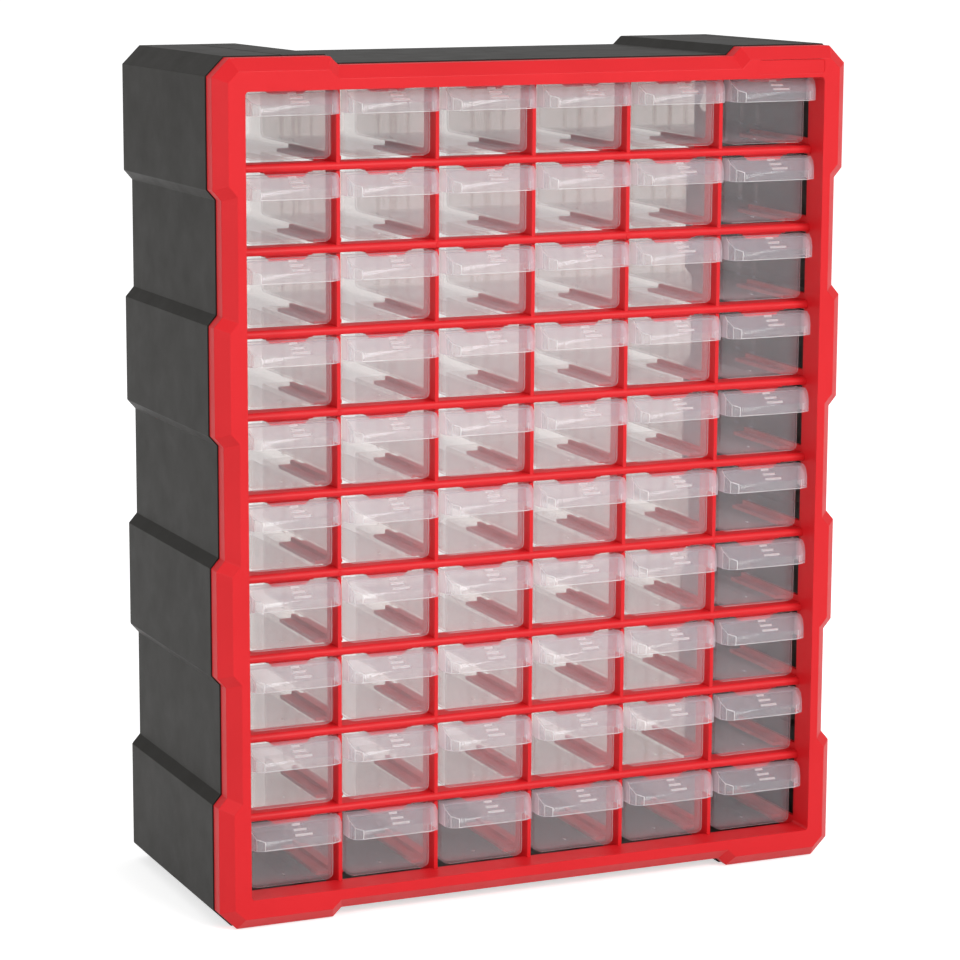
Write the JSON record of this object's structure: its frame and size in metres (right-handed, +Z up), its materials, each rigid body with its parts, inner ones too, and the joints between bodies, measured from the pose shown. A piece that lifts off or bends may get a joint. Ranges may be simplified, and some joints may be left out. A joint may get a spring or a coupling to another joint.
{
  "type": "small parts storage cabinet",
  "caption": "Stepped-edge plastic cabinet with a grid of small clear slide-out drawers in a bevelled front frame, for standing on a bench or hanging on a wall.",
  "frame": {"origin": "centre of the footprint, at the height of the feet", "axes": "+Z up, +Y towards the back of the cabinet, so the drawers face and open towards -Y, +X to the right seen from the front"},
  "size_m": [0.38, 0.16, 0.475],
  "materials": {
    "casing_plastic": "moulded, fine grained",
    "frame_plastic": "moulded, satin",
    "drawer_plastic": "natural frosted clear, moulded"
  },
  "bodies": {
    "cabinet": {"casing": "casing_plastic", "front_frame": "frame_plastic", "shelf_rails": "frame_plastic", "column_dividers": "frame_plastic"},
    "drawer_r1_c1": {"drawer_r1_c1": "drawer_plastic"},
    "drawer_r1_c2": {"drawer_r1_c2": "drawer_plastic"},
    "drawer_r1_c3": {"drawer_r1_c3": "drawer_plastic"},
    "drawer_r1_c4": {"drawer_r1_c4": "drawer_plastic"},
    "drawer_r1_c5": {"drawer_r1_c5": "drawer_plastic"},
    "drawer_r1_c6": {"drawer_r1_c6": "drawer_plastic"},
    "drawer_r2_c1": {"drawer_r2_c1": "drawer_plastic"},
    "drawer_r2_c2": {"drawer_r2_c2": "drawer_plastic"},
    "drawer_r2_c3": {"drawer_r2_c3": "drawer_plastic"},
    "drawer_r2_c4": {"drawer_r2_c4": "drawer_plastic"},
    "drawer_r2_c5": {"drawer_r2_c5": "drawer_plastic"},
    "drawer_r2_c6": {"drawer_r2_c6": "drawer_plastic"},
    "drawer_r3_c1": {"drawer_r3_c1": "drawer_plastic"},
    "drawer_r3_c2": {"drawer_r3_c2": "drawer_plastic"},
    "drawer_r3_c3": {"drawer_r3_c3": "drawer_plastic"},
    "drawer_r3_c4": {"drawer_r3_c4": "drawer_plastic"},
    "drawer_r3_c5": {"drawer_r3_c5": "drawer_plastic"},
    "drawer_r3_c6": {"drawer_r3_c6": "drawer_plastic"},
    "drawer_r4_c1": {"drawer_r4_c1": "drawer_plastic"},
    "drawer_r4_c2": {"drawer_r4_c2": "drawer_plastic"},
    "drawer_r4_c3": {"drawer_r4_c3": "drawer_plastic"},
    "drawer_r4_c4": {"drawer_r4_c4": "drawer_plastic"},
    "drawer_r4_c5": {"drawer_r4_c5": "drawer_plastic"},
    "drawer_r4_c6": {"drawer_r4_c6": "drawer_plastic"},
    "drawer_r5_c1": {"drawer_r5_c1": "drawer_plastic"},
    "drawer_r5_c2": {"drawer_r5_c2": "drawer_plastic"},
    "drawer_r5_c3": {"drawer_r5_c3": "drawer_plastic"},
    "drawer_r5_c4": {"drawer_r5_c4": "drawer_plastic"},
    "drawer_r5_c5": {"drawer_r5_c5": "drawer_plastic"},
    "drawer_r5_c6": {"drawer_r5_c6": "drawer_plastic"},
    "drawer_r6_c1": {"drawer_r6_c1": "drawer_plastic"},
    "drawer_r6_c2": {"drawer_r6_c2": "drawer_plastic"},
    "drawer_r6_c3": {"drawer_r6_c3": "drawer_plastic"},
    "drawer_r6_c4": {"drawer_r6_c4": "drawer_plastic"},
    "drawer_r6_c5": {"drawer_r6_c5": "drawer_plastic"},
    "drawer_r6_c6": {"drawer_r6_c6": "drawer_plastic"},
    "drawer_r7_c1": {"drawer_r7_c1": "drawer_plastic"},
    "drawer_r7_c2": {"drawer_r7_c2": "drawer_plastic"},
    "drawer_r7_c3": {"drawer_r7_c3": "drawer_plastic"},
    "drawer_r7_c4": {"drawer_r7_c4": "drawer_plastic"},
    "drawer_r7_c5": {"drawer_r7_c5": "drawer_plastic"},
    "drawer_r7_c6": {"drawer_r7_c6": "drawer_plastic"},
    "drawer_r8_c1": {"drawer_r8_c1": "drawer_plastic"},
    "drawer_r8_c2": {"drawer_r8_c2": "drawer_plastic"},
    "drawer_r8_c3": {"drawer_r8_c3": "drawer_plastic"},
    "drawer_r8_c4": {"drawer_r8_c4": "drawer_plastic"},
    "drawer_r8_c5": {"drawer_r8_c5": "drawer_plastic"},
    "drawer_r8_c6": {"drawer_r8_c6": "drawer_plastic"},
    "drawer_r9_c1": {"drawer_r9_c1": "drawer_plastic"},
    "drawer_r9_c2": {"drawer_r9_c2": "drawer_plastic"},
    "drawer_r9_c3": {"drawer_r9_c3": "drawer_plastic"},
    "drawer_r9_c4": {"drawer_r9_c4": "drawer_plastic"},
    "drawer_r9_c5": {"drawer_r9_c5": "drawer_plastic"},
    "drawer_r9_c6": {"drawer_r9_c6": "drawer_plastic"},
    "drawers_bottom_row": {"drawers_bottom_row": "drawer_plastic"}
  },
  "joints": [
    {"name": "slide_r1_c1", "type": "slide", "parent": "cabinet", "child": "drawer_r1_c1", "axis": [0, -1, 0], "range_m": [0, 0.125]},
    {"name": "slide_r1_c2", "type": "slide", "parent": "cabinet", "child": "drawer_r1_c2", "axis": [0, -1, 0], "range_m": [0, 0.125]},
    {"name": "slide_r1_c3", "type": "slide", "parent": "cabinet", "child": "drawer_r1_c3", "axis": [0, -1, 0], "range_m": [0, 0.125]},
    {"name": "slide_r1_c4", "type": "slide", "parent": "cabinet", "child": "drawer_r1_c4", "axis": [0, -1, 0], "range_m": [0, 0.125]},
    {"name": "slide_r1_c5", "type": "slide", "parent": "cabinet", "child": "drawer_r1_c5", "axis": [0, -1, 0], "range_m": [0, 0.125]},
    {"name": "slide_r1_c6", "type": "slide", "parent": "cabinet", "child": "drawer_r1_c6", "axis": [0, -1, 0], "range_m": [0, 0.125]},
    {"name": "slide_r2_c1", "type": "slide", "parent": "cabinet", "child": "drawer_r2_c1", "axis": [0, -1, 0], "range_m": [0, 0.125]},
    {"name": "slide_r2_c2", "type": "slide", "parent": "cabinet", "child": "drawer_r2_c2", "axis": [0, -1, 0], "range_m": [0, 0.125]},
    {"name": "slide_r2_c3", "type": "slide", "parent": "cabinet", "child": "drawer_r2_c3", "axis": [0, -1, 0], "range_m": [0, 0.125]},
    {"name": "slide_r2_c4", "type": "slide", "parent": "cabinet", "child": "drawer_r2_c4", "axis": [0, -1, 0], "range_m": [0, 0.125]},
    {"name": "slide_r2_c5", "type": "slide", "parent": "cabinet", "child": "drawer_r2_c5", "axis": [0, -1, 0], "range_m": [0, 0.125]},
    {"name": "slide_r2_c6", "type": "slide", "parent": "cabinet", "child": "drawer_r2_c6", "axis": [0, -1, 0], "range_m": [0, 0.125]},
    {"name": "slide_r3_c1", "type": "slide", "parent": "cabinet", "child": "drawer_r3_c1", "axis": [0, -1, 0], "range_m": [0, 0.125]},
    {"name": "slide_r3_c2", "type": "slide", "parent": "cabinet", "child": "drawer_r3_c2", "axis": [0, -1, 0], "range_m": [0, 0.125]},
    {"name": "slide_r3_c3", "type": "slide", "parent": "cabinet", "child": "drawer_r3_c3", "axis": [0, -1, 0], "range_m": [0, 0.125]},
    {"name": "slide_r3_c4", "type": "slide", "parent": "cabinet", "child": "drawer_r3_c4", "axis": [0, -1, 0], "range_m": [0, 0.125]},
    {"name": "slide_r3_c5", "type": "slide", "parent": "cabinet", "child": "drawer_r3_c5", "axis": [0, -1, 0], "range_m": [0, 0.125]},
    {"name": "slide_r3_c6", "type": "slide", "parent": "cabinet", "child": "drawer_r3_c6", "axis": [0, -1, 0], "range_m": [0, 0.125]},
    {"name": "slide_r4_c1", "type": "slide", "parent": "cabinet", "child": "drawer_r4_c1", "axis": [0, -1, 0], "range_m": [0, 0.125]},
    {"name": "slide_r4_c2", "type": "slide", "parent": "cabinet", "child": "drawer_r4_c2", "axis": [0, -1, 0], "range_m": [0, 0.125]},
    {"name": "slide_r4_c3", "type": "slide", "parent": "cabinet", "child": "drawer_r4_c3", "axis": [0, -1, 0], "range_m": [0, 0.125]},
    {"name": "slide_r4_c4", "type": "slide", "parent": "cabinet", "child": "drawer_r4_c4", "axis": [0, -1, 0], "range_m": [0, 0.125]},
    {"name": "slide_r4_c5", "type": "slide", "parent": "cabinet", "child": "drawer_r4_c5", "axis": [0, -1, 0], "range_m": [0, 0.125]},
    {"name": "slide_r4_c6", "type": "slide", "parent": "cabinet", "child": "drawer_r4_c6", "axis": [0, -1, 0], "range_m": [0, 0.125]},
    {"name": "slide_r5_c1", "type": "slide", "parent": "cabinet", "child": "drawer_r5_c1", "axis": [0, -1, 0], "range_m": [0, 0.125]},
    {"name": "slide_r5_c2", "type": "slide", "parent": "cabinet", "child": "drawer_r5_c2", "axis": [0, -1, 0], "range_m": [0, 0.125]},
    {"name": "slide_r5_c3", "type": "slide", "parent": "cabinet", "child": "drawer_r5_c3", "axis": [0, -1, 0], "range_m": [0, 0.125]},
    {"name": "slide_r5_c4", "type": "slide", "parent": "cabinet", "child": "drawer_r5_c4", "axis": [0, -1, 0], "range_m": [0, 0.125]},
    {"name": "slide_r5_c5", "type": "slide", "parent": "cabinet", "child": "drawer_r5_c5", "axis": [0, -1, 0], "range_m": [0, 0.125]},
    {"name": "slide_r5_c6", "type": "slide", "parent": "cabinet", "child": "drawer_r5_c6", "axis": [0, -1, 0], "range_m": [0, 0.125]},
    {"name": "slide_r6_c1", "type": "slide", "parent": "cabinet", "child": "drawer_r6_c1", "axis": [0, -1, 0], "range_m": [0, 0.125]},
    {"name": "slide_r6_c2", "type": "slide", "parent": "cabinet", "child": "drawer_r6_c2", "axis": [0, -1, 0], "range_m": [0, 0.125]},
    {"name": "slide_r6_c3", "type": "slide", "parent": "cabinet", "child": "drawer_r6_c3", "axis": [0, -1, 0], "range_m": [0, 0.125]},
    {"name": "slide_r6_c4", "type": "slide", "parent": "cabinet", "child": "drawer_r6_c4", "axis": [0, -1, 0], "range_m": [0, 0.125]},
    {"name": "slide_r6_c5", "type": "slide", "parent": "cabinet", "child": "drawer_r6_c5", "axis": [0, -1, 0], "range_m": [0, 0.125]},
    {"name": "slide_r6_c6", "type": "slide", "parent": "cabinet", "child": "drawer_r6_c6", "axis": [0, -1, 0], "range_m": [0, 0.125]},
    {"name": "slide_r7_c1", "type": "slide", "parent": "cabinet", "child": "drawer_r7_c1", "axis": [0, -1, 0], "range_m": [0, 0.125]},
    {"name": "slide_r7_c2", "type": "slide", "parent": "cabinet", "child": "drawer_r7_c2", "axis": [0, -1, 0], "range_m": [0, 0.125]},
    {"name": "slide_r7_c3", "type": "slide", "parent": "cabinet", "child": "drawer_r7_c3", "axis": [0, -1, 0], "range_m": [0, 0.125]},
    {"name": "slide_r7_c4", "type": "slide", "parent": "cabinet", "child": "drawer_r7_c4", "axis": [0, -1, 0], "range_m": [0, 0.125]},
    {"name": "slide_r7_c5", "type": "slide", "parent": "cabinet", "child": "drawer_r7_c5", "axis": [0, -1, 0], "range_m": [0, 0.125]},
    {"name": "slide_r7_c6", "type": "slide", "parent": "cabinet", "child": "drawer_r7_c6", "axis": [0, -1, 0], "range_m": [0, 0.125]},
    {"name": "slide_r8_c1", "type": "slide", "parent": "cabinet", "child": "drawer_r8_c1", "axis": [0, -1, 0], "range_m": [0, 0.125]},
    {"name": "slide_r8_c2", "type": "slide", "parent": "cabinet", "child": "drawer_r8_c2", "axis": [0, -1, 0], "range_m": [0, 0.125]},
    {"name": "slide_r8_c3", "type": "slide", "parent": "cabinet", "child": "drawer_r8_c3", "axis": [0, -1, 0], "range_m": [0, 0.125]},
    {"name": "slide_r8_c4", "type": "slide", "parent": "cabinet", "child": "drawer_r8_c4", "axis": [0, -1, 0], "range_m": [0, 0.125]},
    {"name": "slide_r8_c5", "type": "slide", "parent": "cabinet", "child": "drawer_r8_c5", "axis": [0, -1, 0], "range_m": [0, 0.125]},
    {"name": "slide_r8_c6", "type": "slide", "parent": "cabinet", "child": "drawer_r8_c6", "axis": [0, -1, 0], "range_m": [0, 0.125]},
    {"name": "slide_r9_c1", "type": "slide", "parent": "cabinet", "child": "drawer_r9_c1", "axis": [0, -1, 0], "range_m": [0, 0.125]},
    {"name": "slide_r9_c2", "type": "slide", "parent": "cabinet", "child": "drawer_r9_c2", "axis": [0, -1, 0], "range_m": [0, 0.125]},
    {"name": "slide_r9_c3", "type": "slide", "parent": "cabinet", "child": "drawer_r9_c3", "axis": [0, -1, 0], "range_m": [0, 0.125]},
    {"name": "slide_r9_c4", "type": "slide", "parent": "cabinet", "child": "drawer_r9_c4", "axis": [0, -1, 0], "range_m": [0, 0.125]},
    {"name": "slide_r9_c5", "type": "slide", "parent": "cabinet", "child": "drawer_r9_c5", "axis": [0, -1, 0], "range_m": [0, 0.125]},
    {"name": "slide_r9_c6", "type": "slide", "parent": "cabinet", "child": "drawer_r9_c6", "axis": [0, -1, 0], "range_m": [0, 0.125]},
    {"name": "slide_bottom_row", "type": "slide", "parent": "cabinet", "child": "drawers_bottom_row", "axis": [0, -1, 0], "range_m": [0, 0.125]}
  ]
}
